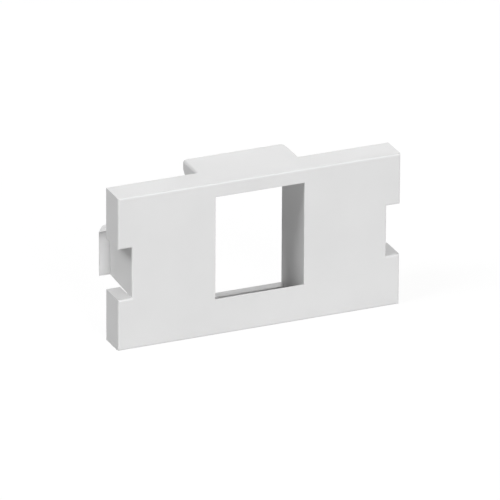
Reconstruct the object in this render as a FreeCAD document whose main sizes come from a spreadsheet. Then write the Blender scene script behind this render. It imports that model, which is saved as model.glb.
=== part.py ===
import FreeCAD, Part
import Sketcher
import math
import os

# A snap-in faceplate insert that carries one keystone jack. It is a single moulding.
# Millimetres. Seen from the front, X runs to the right, Y to the back and Z up. The origin is
# in the middle of the foot, in the plane of the rim's back, which lies against the frame.
# Depths are measured from the front face, as on the drawing of a jack port.

SIZES = (
    ("plate_width", 46.5, "face, end to end"),
    ("plate_height", 25.0, "face, foot to top"),
    ("plate_depth", 4.75, "front face to the back of the rim"),
    ("front_wall", 2.0, "thickness of the face"),
    ("rim_wall", 1.8, "rim along the foot and the top"),
    ("end_wall", 2.25, "rim at the two ends, as deep as the notches"),
    ("hollow_corner", 0.5, "upright corners of the hollow behind the face"),
    ("face_round", 0.3, "rounding round the outline of the face"),
    ("notch_height", 8.3, "clearance notch in each end, at mid height"),
    ("port_width", 14.6, "jack port, clear width from front to back"),
    ("port_height", 16.8, "jack port, clear height in the face"),
    ("port_lintel", 2.3, "wall above the port"),
    ("port_round", 0.1, "rounding of the port's edges in the face"),
    ("sill_land", 0.15, "flat of the sill before it is bevelled away"),
    ("sill_bevel", 1.2, "bevel under the sill, to let the latch in"),
    ("housing_wall", 1.15, "side cheeks of the port's housing"),
    ("housing_depth", 10.7, "front face to the back of the housing"),
    ("housing_corner", 0.85, "upright corners of the housing"),
    ("housing_round", 0.4, "long edges of the housing's top and foot"),
    ("cheek_depth", 8.55, "front face to the back of the cheeks"),
    ("hood_lip", 0.7, "upright back of the hood above its slope"),
    ("hood_slope", 2.15, "height in which the hood runs down to the cheeks"),
    ("latch_floor", 1.3, "skin under the latch pocket"),
    ("catch_front", 7.5, "front face to the catch of the latch"),
    ("catch_height", 2.65, "foot to the top of the catch"),
    ("catch_land", 1.65, "flat top of the catch"),
    ("catch_fall", 1.0, "drop of the lead-in ramp behind the catch"),
    ("lug_front", 6.5, "front face to the pocket of the fixed lug"),
    ("lug_back", 8.0, "front face to the far side of that pocket"),
    ("lug_skin", 1.1, "skin above the lug's pocket"),
    ("arm_thickness", 1.6, "snap arm"),
    ("arm_root_height", 8.06, "snap arm where it leaves the face"),
    ("arm_tip_height", 7.25, "snap arm at its hook"),
    ("arm_root_round", 0.8, "fillet inside the root of an arm"),
    ("hook_reach", 8.65, "front face to the hook's holding face"),
    ("hook_overhang", 1.78, "how far a hook stands out from its arm"),
    ("hook_nose", 0.15, "flat at the outermost edge of a hook"),
    ("hook_length", 2.3, "holding face to the tip"),
    ("hook_ramp", 1.5, "how far the ramp brings the hook in"),
    ("hook_round", 0.7, "rounding between the ramp and the tip"),
)

NEAR = 0.001

doc = FreeCAD.newDocument("keystone_faceplate")
sheet = doc.addObject("Spreadsheet::Sheet", "Sizes")
for row, (alias, value, meaning) in enumerate(SIZES, start=1):
    sheet.set(f"A{row}", f"'{alias}")
    sheet.set(f"B{row}", str(value))
    sheet.set(f"C{row}", f"'{meaning}")
    sheet.setAlias(f"B{row}", alias)
doc.recompute()

body = doc.addObject("PartDesign::Body", "Faceplate")
body.Label = "faceplate"

# Places that several features share, as expressions on the sheet.
DEPTH_ZERO = "-Sizes.plate_depth"
MID_HEIGHT = "Sizes.plate_height / 2"
END = "Sizes.plate_width / 2"
ARM_FACE = "Sizes.plate_width / 2 - Sizes.end_wall"
NOTCH_FOOT = "(Sizes.plate_height - Sizes.notch_height) / 2"
NOTCH_TOP = "(Sizes.plate_height + Sizes.notch_height) / 2"
HOUSING_SIDE = "Sizes.port_width / 2 + Sizes.housing_wall"
LINTEL = "Sizes.plate_height - Sizes.port_lintel"
SILL = f"{LINTEL} - Sizes.port_height"
PAST_BACK = "Sizes.housing_depth + Sizes.housing_wall"
BEFORE_FACE = "-Sizes.front_wall"


def origin_plane(role):
    return next(plane for plane in body.Origin.OriginFeatures if plane.Role == role)


def pin(sketch, corner, direction, expression):
    """Hold one corner at a distance from the sketch's zero; a minus puts it on the other side."""
    if expression == "0":
        axis = -2 if direction == "DistanceX" else -1
        sketch.addConstraint(Sketcher.Constraint("PointOnObject", corner, 1, axis))
        return
    ends = (-1, 1, corner, 1)
    if expression.startswith("-"):
        ends = (corner, 1, -1, 1)
        expression = expression[1:]
    label = f"{direction}{corner}"
    sketch.addConstraint(Sketcher.Constraint(direction, *ends, 1.0))
    sketch.renameConstraint(sketch.ConstraintCount - 1, label)
    sketch.setExpression(f"Constraints.{label}", expression)


def outline(name, role, corners, **shift):
    """A closed outline on an origin plane, with every corner pinned to the sheet's sizes."""
    sketch = body.newObject("Sketcher::SketchObject", name)
    sketch.AttachmentSupport = (origin_plane(role), [""])
    sketch.MapMode = "FlatFace"
    for axis, expression in shift.items():
        sketch.setExpression(f"AttachmentOffset.Base.{axis}", expression)
    count = len(corners)
    turn = 2 * math.pi / count
    ring = [FreeCAD.Vector(math.cos(turn * i), math.sin(turn * i), 0) for i in range(count)]
    for i in range(count):
        sketch.addGeometry(Part.LineSegment(ring[i], ring[(i + 1) % count]), False)
    for i in range(count):
        sketch.addConstraint(Sketcher.Constraint("Coincident", i, 2, (i + 1) % count, 1))
    for i, (across, along) in enumerate(corners):
        pin(sketch, i, "DistanceX", across)
        pin(sketch, i, "DistanceY", along)
    return sketch


def pad(name, sketch, length, side="One side", backwards=False):
    feature = body.newObject("PartDesign::Pad", name)
    feature.Profile = (sketch, [""])
    feature.SideType = side
    feature.Reversed = backwards
    feature.setExpression("Length", length)
    doc.recompute()
    return feature


def pocket(name, sketch, length=None, side="One side"):
    volume = body.Shape.Volume
    feature = body.newObject("PartDesign::Pocket", name)
    feature.Profile = (sketch, [""])
    feature.SideType = side
    if length:
        feature.setExpression("Length", length)
    else:
        feature.Type = "ThroughAll"
    doc.recompute()
    if feature.Shape.Volume > volume - NEAR:
        raise RuntimeError(f"{name} cuts nothing")
    return feature


def round_edges(name, radius, wanted):
    base = body.Tip
    found = [f"Edge{i}" for i, edge in enumerate(base.Shape.Edges, start=1) if wanted(edge)]
    feature = body.newObject("PartDesign::Fillet", name)
    feature.Base = (base, found)
    feature.setExpression("Radius", radius)
    doc.recompute()
    return feature


def middle(edge):
    return edge.valueAt((edge.FirstParameter + edge.LastParameter) / 2)


def all_at(edge, axis, place):
    """Whether an edge lies in the plane where that axis has that value."""
    points = [vertex.Point for vertex in edge.Vertexes] + [middle(edge)]
    return all(abs(getattr(point, axis) - place) < NEAR for point in points)


def in_port(edge):
    """Whether an edge is one of the port's, and not on the foot or the top of the face."""
    point = middle(edge)
    inside = NEAR < point.z < sheet.plate_height - NEAR
    return inside and abs(point.x) < sheet.port_width / 2 + NEAR


# The face with its rim, still solid, and a notch through the middle of each end.
plate = outline("PlateOutline", "XZ_Plane", [
    (f"-{END}", "0"),
    (END, "0"),
    (END, NOTCH_FOOT),
    (ARM_FACE, NOTCH_FOOT),
    (ARM_FACE, NOTCH_TOP),
    (END, NOTCH_TOP),
    (END, "Sizes.plate_height"),
    (f"-{END}", "Sizes.plate_height"),
    (f"-{END}", NOTCH_TOP),
    (f"-({ARM_FACE})", NOTCH_TOP),
    (f"-({ARM_FACE})", NOTCH_FOOT),
    (f"-{END}", NOTCH_FOOT),
], z="Sizes.plate_depth")
pad("Plate", plate, "Sizes.plate_depth", backwards=True)

# The hollow behind the face.
arm_face = sheet.plate_width / 2 - sheet.end_wall
mid_height = sheet.plate_height / 2
hollow_half = mid_height - sheet.rim_wall
hollow = outline("HollowOutline", "XZ_Plane", [
    (f"-({ARM_FACE})", "Sizes.rim_wall"),
    (ARM_FACE, "Sizes.rim_wall"),
    (ARM_FACE, "Sizes.plate_height - Sizes.rim_wall"),
    (f"-({ARM_FACE})", "Sizes.plate_height - Sizes.rim_wall"),
], z="Sizes.plate_depth - Sizes.front_wall")
pocket("Hollow", hollow)
round_edges(
    "HollowCorners",
    "Sizes.hollow_corner",
    lambda edge: abs(abs(middle(edge).x) - arm_face) < NEAR
    and abs(edge.tangentAt(edge.FirstParameter).y) > 1 - NEAR
    and abs(abs(middle(edge).z - mid_height) - hollow_half) < NEAR,
)

# The housing of the port, as high as the face, seen from above.
housing = outline("HousingOutline", "XY_Plane", [
    (f"-({HOUSING_SIDE})", "Sizes.front_wall"),
    (HOUSING_SIDE, "Sizes.front_wall"),
    (HOUSING_SIDE, "Sizes.housing_depth"),
    (f"-({HOUSING_SIDE})", "Sizes.housing_depth"),
], y=DEPTH_ZERO)
pad("Housing", housing, "Sizes.plate_height")

rear = sheet.housing_depth - sheet.plate_depth
round_edges(
    "HousingCorners",
    "Sizes.housing_corner",
    lambda edge: all_at(edge, "y", rear) and edge.Length > sheet.plate_height - NEAR
    and abs(edge.tangentAt(edge.FirstParameter).z) > 1 - NEAR,
)

# The cheeks end before the hood and the catch. The hood slopes down to them over the housing's
# whole width, which leads the fixed lug of the jack in under its bar.
recess = outline("CheekRecess", "YZ_Plane", [
    ("Sizes.cheek_depth", "Sizes.catch_height"),
    (PAST_BACK, "Sizes.catch_height"),
    (PAST_BACK, "Sizes.plate_height - Sizes.hood_lip"),
    ("Sizes.housing_depth", "Sizes.plate_height - Sizes.hood_lip"),
    ("Sizes.cheek_depth", "Sizes.plate_height - Sizes.hood_lip - Sizes.hood_slope"),
], x=DEPTH_ZERO)
pocket("CheekEnds", recess, side="Symmetric")

# Behind its flat the catch falls away as a lead-in ramp, over the housing's whole width.
ramp = outline("RampOutline", "YZ_Plane", [
    ("Sizes.catch_front + Sizes.catch_land", "Sizes.catch_height"),
    ("Sizes.housing_depth", "Sizes.catch_height - Sizes.catch_fall"),
    (PAST_BACK, "Sizes.catch_height - Sizes.catch_fall"),
    (PAST_BACK, "Sizes.catch_height"),
], x=DEPTH_ZERO)
pocket("CatchRamp", ramp, side="Symmetric")

# The port from front to back: the sill bevelled at the back, the deep pocket and catch of the
# latch below, and above them the shelf, shallow pocket and bar of the fixed lug.
port = outline("PortSection", "YZ_Plane", [
    (BEFORE_FACE, SILL),
    ("Sizes.sill_land", SILL),
    ("Sizes.front_wall", f"{SILL} - Sizes.sill_bevel"),
    ("Sizes.front_wall", "Sizes.latch_floor"),
    ("Sizes.catch_front", "Sizes.latch_floor"),
    ("Sizes.catch_front", "Sizes.catch_height"),
    (PAST_BACK, "Sizes.catch_height"),
    (PAST_BACK, LINTEL),
    ("Sizes.lug_back", LINTEL),
    ("Sizes.lug_back", "Sizes.plate_height - Sizes.lug_skin"),
    ("Sizes.lug_front", "Sizes.plate_height - Sizes.lug_skin"),
    ("Sizes.lug_front", LINTEL),
    (BEFORE_FACE, LINTEL),
], x=DEPTH_ZERO)
pocket("Port", port, "Sizes.port_width", side="Symmetric")

# One snap arm, flush with the notch's inner wall and tapered towards its hook.
arm = outline("ArmOutline", "YZ_Plane", [
    ("Sizes.front_wall", f"{MID_HEIGHT} - Sizes.arm_root_height / 2"),
    ("Sizes.hook_reach", f"{MID_HEIGHT} - Sizes.arm_tip_height / 2"),
    ("Sizes.hook_reach + Sizes.hook_length", f"{MID_HEIGHT} - Sizes.arm_tip_height / 2"),
    ("Sizes.hook_reach + Sizes.hook_length", f"{MID_HEIGHT} + Sizes.arm_tip_height / 2"),
    ("Sizes.hook_reach", f"{MID_HEIGHT} + Sizes.arm_tip_height / 2"),
    ("Sizes.front_wall", f"{MID_HEIGHT} + Sizes.arm_root_height / 2"),
], x=DEPTH_ZERO, z=ARM_FACE)
arm_pad = pad("Arm", arm, "Sizes.arm_thickness", backwards=True)

# Its hook, seen from above: square holding face, narrow nose, ramp in to the tip.
HOOK_NOSE = f"{ARM_FACE} + Sizes.hook_overhang"
hook = outline("HookOutline", "XY_Plane", [
    (f"{ARM_FACE} - Sizes.arm_thickness / 2", "Sizes.hook_reach"),
    (HOOK_NOSE, "Sizes.hook_reach"),
    (HOOK_NOSE, "Sizes.hook_reach + Sizes.hook_nose"),
    (f"{HOOK_NOSE} - Sizes.hook_ramp", "Sizes.hook_reach + Sizes.hook_length"),
    (f"{ARM_FACE} - Sizes.arm_thickness / 2", "Sizes.hook_reach + Sizes.hook_length"),
], y=DEPTH_ZERO, z=MID_HEIGHT)
hook_pad = pad("Hook", hook, "Sizes.arm_tip_height", side="Symmetric")

# The second arm and hook mirror the first.
arms = body.newObject("PartDesign::Mirrored", "BothArms")
arms.Originals = [arm_pad, hook_pad]
arms.MirrorPlane = (origin_plane("YZ_Plane"), [""])
body.Tip = arms
doc.recompute()

face = -sheet.plate_depth
round_edges(
    "FaceEdges",
    "Sizes.face_round",
    lambda edge: all_at(edge, "y", face) and not in_port(edge),
)
round_edges(
    "PortEdges",
    "Sizes.port_round",
    lambda edge: all_at(edge, "y", face) and in_port(edge),
)

round_edges(
    "HousingEdges",
    "Sizes.housing_round",
    lambda edge: middle(edge).y > NEAR
    and (all_at(edge, "z", 0) or all_at(edge, "z", sheet.plate_height)),
)

arm_inside = arm_face - sheet.arm_thickness
face_back = sheet.front_wall - sheet.plate_depth
round_edges(
    "ArmRoots",
    "Sizes.arm_root_round",
    lambda edge: all_at(edge, "y", face_back)
    and abs(abs(middle(edge).x) - arm_inside) < NEAR,
)

ramp_end = arm_face + sheet.hook_overhang - sheet.hook_ramp
tip = sheet.hook_reach + sheet.hook_length - sheet.plate_depth
round_edges(
    "HookEnds",
    "Sizes.hook_round",
    lambda edge: all_at(edge, "y", tip) and abs(abs(middle(edge).x) - ramp_end) < NEAR,
)

doc.recompute()
for item in doc.Objects:
    if {"Invalid", "Error"} & set(item.State):
        raise RuntimeError(f"{item.Label} failed: {item.State}")
if body.Shape.isNull() or not body.Shape.isValid() or len(body.Shape.Solids) != 1:
    raise RuntimeError("the moulding is not one valid solid")

os.makedirs("parts", exist_ok=True)
body.Shape.exportStep(f"parts/{body.Label}.step")
print(f"{body.Label}: {body.Shape.Volume:.1f} mm3, {len(body.Shape.Faces)} faces")
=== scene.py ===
import math

import bpy
from mathutils import Matrix, Vector


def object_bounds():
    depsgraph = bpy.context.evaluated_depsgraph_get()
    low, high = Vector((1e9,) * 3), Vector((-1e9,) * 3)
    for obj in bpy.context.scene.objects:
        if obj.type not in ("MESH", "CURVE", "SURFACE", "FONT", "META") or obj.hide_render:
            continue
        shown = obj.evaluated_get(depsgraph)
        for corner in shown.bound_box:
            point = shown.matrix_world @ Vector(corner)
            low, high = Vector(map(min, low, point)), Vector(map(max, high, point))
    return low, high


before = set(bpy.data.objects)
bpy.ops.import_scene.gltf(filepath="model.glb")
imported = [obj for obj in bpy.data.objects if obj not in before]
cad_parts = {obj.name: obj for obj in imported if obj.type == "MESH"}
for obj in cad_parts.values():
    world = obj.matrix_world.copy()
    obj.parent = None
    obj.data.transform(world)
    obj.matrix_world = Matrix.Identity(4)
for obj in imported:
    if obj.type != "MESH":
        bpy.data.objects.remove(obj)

CAD_BOX = [list(corner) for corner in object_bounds()]
MM = 0.001

# The faceplate is one moulding of satin white plastic, so it has one material. Its shade and its
# roughness drift over about a centimetre, and its surface has a faint waviness and a fine grain.
SHADE_LOW = 0.688
SHADE_HIGH = 0.712
CLOUD_SIZE = 9 * MM
ROUGH_LOW = 0.36
ROUGH_HIGH = 0.46
SPECULAR_LEVEL = 0.3
FLOW_SIZE = 14 * MM
FLOW_HEIGHT = 0.012 * MM
GRAIN_SIZE = 0.14 * MM
GRAIN_HEIGHT = 0.0025 * MM
# Most of a noise lies between these two values.
NOISE_LOW = 0.3
NOISE_HIGH = 0.7

# The camera of the photograph: its place in metres, its angles in degrees, its lens and its
# sensor in millimetres.
CAMERA_AT = (-0.483142, -1.120187, 0.536577)
CAMERA_AZIMUTH = -23.3481
CAMERA_ELEVATION = 23.3090
CAMERA_ROLL = 0.3089
LENS = 628.65
SENSOR = 36.0

# The softboxes all face the point half way up the object, over the frame's origin. Each has a
# name, an azimuth and an elevation in degrees, a distance and a side in metres, and watts.
AIM = Vector((0, 0, (CAD_BOX[0][2] + CAD_BOX[1][2]) / 2))
SOFTBOXES = (
    ("front_low", 0, 6, 1.5, 0.35, 9.8),
    ("front_right", 10, 25, 1.1, 0.7, 4.8),
    ("left_high", -85, 45, 1.2, 0.5, 7.8),
    ("right_rear", 150, 20, 1.1, 0.7, 2.8),
    ("top", 0, 88, 1.1, 0.7, 3.4),
)

# The camera sees this share of the lit floor, shadow included. The rest is the floor's glow,
# which brings the lit floor to white.
SHADOW_SHARE = 0.25
FLOOR_GLOW = 1.22
FLOOR_COLOUR = (0.45, 0.45, 0.45, 1)
FLOOR_SIZE = 6.0
WHITE = (1, 1, 1, 1)


def noise(tree, place, size, detail=3.0):
    """Noise whose features are about that size, in metres."""
    node = tree.nodes.new("ShaderNodeTexNoise")
    node.inputs["Scale"].default_value = 1 / size
    node.inputs["Detail"].default_value = detail
    tree.links.new(place, node.inputs["Vector"])
    return node.outputs["Fac"]


def spread(tree, value, low, high):
    """A noise stretched so that most of it runs from low to high."""
    node = tree.nodes.new("ShaderNodeMapRange")
    node.inputs["From Min"].default_value = NOISE_LOW
    node.inputs["From Max"].default_value = NOISE_HIGH
    node.inputs["To Min"].default_value = low
    node.inputs["To Max"].default_value = high
    tree.links.new(value, node.inputs["Value"])
    return node.outputs["Result"]


def bump(tree, height, distance, below=None):
    """A surface raised by that height times the distance, on top of the bump below."""
    node = tree.nodes.new("ShaderNodeBump")
    node.inputs["Strength"].default_value = 1.0
    node.inputs["Distance"].default_value = distance
    tree.links.new(height, node.inputs["Height"])
    if below:
        tree.links.new(below, node.inputs["Normal"])
    return node.outputs["Normal"]


def moulded_plastic():
    """Satin white plastic of an uneven shade and roughness, with a fine grain on a waviness."""
    material = bpy.data.materials.new("satin_white_plastic")
    material.use_nodes = True
    tree = material.node_tree
    shader = tree.nodes["Principled BSDF"]
    place = tree.nodes.new("ShaderNodeTexCoord").outputs["Object"]
    shade = spread(tree, noise(tree, place, CLOUD_SIZE), SHADE_LOW, SHADE_HIGH)
    colour = tree.nodes.new("ShaderNodeCombineColor")
    for channel in ("Red", "Green", "Blue"):
        tree.links.new(shade, colour.inputs[channel])
    tree.links.new(colour.outputs["Color"], shader.inputs["Base Color"])
    rough = spread(tree, noise(tree, place, FLOW_SIZE), ROUGH_LOW, ROUGH_HIGH)
    tree.links.new(rough, shader.inputs["Roughness"])
    flow = bump(tree, noise(tree, place, FLOW_SIZE, detail=1.0), FLOW_HEIGHT)
    grain = bump(tree, noise(tree, place, GRAIN_SIZE, detail=2.0), GRAIN_HEIGHT, below=flow)
    tree.links.new(grain, shader.inputs["Normal"])
    shader.inputs["Specular IOR Level"].default_value = SPECULAR_LEVEL
    return material


def seen_directly(tree):
    """1 for camera, glossy and transmission rays, 0 for all others."""
    rays = tree.nodes.new("ShaderNodeLightPath")
    value = rays.outputs["Is Camera Ray"]
    for name in ("Is Glossy Ray", "Is Transmission Ray"):
        larger = tree.nodes.new("ShaderNodeMath")
        larger.operation = "MAXIMUM"
        tree.links.new(value, larger.inputs[0])
        tree.links.new(rays.outputs[name], larger.inputs[1])
        value = larger.outputs["Value"]
    return value


def white_floor():
    """A light grey floor that shows white and keeps a share of the object's shadow."""
    material = bpy.data.materials.new("floor_white")
    material.use_nodes = True
    tree = material.node_tree
    tree.nodes.remove(tree.nodes["Principled BSDF"])
    matt = tree.nodes.new("ShaderNodeBsdfDiffuse")
    matt.inputs["Color"].default_value = FLOOR_COLOUR
    glow = tree.nodes.new("ShaderNodeEmission")
    glow.inputs["Strength"].default_value = FLOOR_GLOW
    share = tree.nodes.new("ShaderNodeMath")
    share.operation = "MULTIPLY"
    share.inputs[1].default_value = 1 - SHADOW_SHARE
    tree.links.new(seen_directly(tree), share.inputs[0])
    mix = tree.nodes.new("ShaderNodeMixShader")
    tree.links.new(share.outputs["Value"], mix.inputs["Fac"])
    tree.links.new(matt.outputs["BSDF"], mix.inputs[1])
    tree.links.new(glow.outputs["Emission"], mix.inputs[2])
    tree.links.new(mix.outputs["Shader"], tree.nodes["Material Output"].inputs["Surface"])
    bpy.ops.mesh.primitive_plane_add(size=FLOOR_SIZE)
    floor = bpy.context.object
    floor.name = "floor"
    floor.data.materials.append(material)


def white_sky():
    """A world that the camera and glossy surfaces see as white, and that gives no other light."""
    world = bpy.data.worlds.new("studio")
    bpy.context.scene.world = world
    world.use_nodes = True
    tree = world.node_tree
    dark = tree.nodes["Background"]
    dark.inputs["Strength"].default_value = 0.0
    white = tree.nodes.new("ShaderNodeBackground")
    white.inputs["Color"].default_value = WHITE
    white.inputs["Strength"].default_value = 1.0
    mix = tree.nodes.new("ShaderNodeMixShader")
    tree.links.new(seen_directly(tree), mix.inputs["Fac"])
    tree.links.new(dark.outputs["Background"], mix.inputs[1])
    tree.links.new(white.outputs["Background"], mix.inputs[2])
    tree.links.new(mix.outputs["Shader"], tree.nodes["World Output"].inputs["Surface"])


def outward(azimuth, elevation):
    """The direction from the object at those degrees: azimuth 0 is to its front, 90 to its right."""
    turn = math.radians(azimuth)
    rise = math.radians(elevation)
    level = math.cos(rise)
    return Vector((level * math.sin(turn), -level * math.cos(turn), math.sin(rise)))


def softbox(name, azimuth, elevation, distance, side, watts):
    """A square lamp that faces AIM from that direction and distance."""
    lamp = bpy.data.lights.new(name, "AREA")
    lamp.shape = "SQUARE"
    lamp.size = side
    lamp.energy = watts
    away = outward(azimuth, elevation)
    holder = bpy.data.objects.new(name, lamp)
    holder.location = AIM + distance * away
    holder.rotation_euler = (-away).to_track_quat("-Z", "Y").to_euler()
    bpy.context.scene.collection.objects.link(holder)


def camera():
    """The camera stands to the left of the object and above it, as in the photograph."""
    ahead = -outward(CAMERA_AZIMUTH, CAMERA_ELEVATION)
    level = ahead.cross(Vector((0, 0, 1))).normalized()
    raised = level.cross(ahead)
    roll = math.radians(CAMERA_ROLL)
    right = math.cos(roll) * level + math.sin(roll) * raised
    up = math.cos(roll) * raised - math.sin(roll) * level
    data = bpy.data.cameras.new("camera")
    data.lens = LENS
    data.sensor_width = SENSOR
    holder = bpy.data.objects.new("camera", data)
    turn = Matrix((right, up, -ahead)).transposed().to_4x4()
    holder.matrix_world = Matrix.Translation(CAMERA_AT) @ turn
    bpy.context.scene.collection.objects.link(holder)
    bpy.context.scene.camera = holder


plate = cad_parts["faceplate"]
plate.data.materials.clear()
plate.data.materials.append(moulded_plastic())
white_floor()
white_sky()
for box in SOFTBOXES:
    softbox(*box)
camera()
bpy.context.scene.view_settings.view_transform = "Standard"
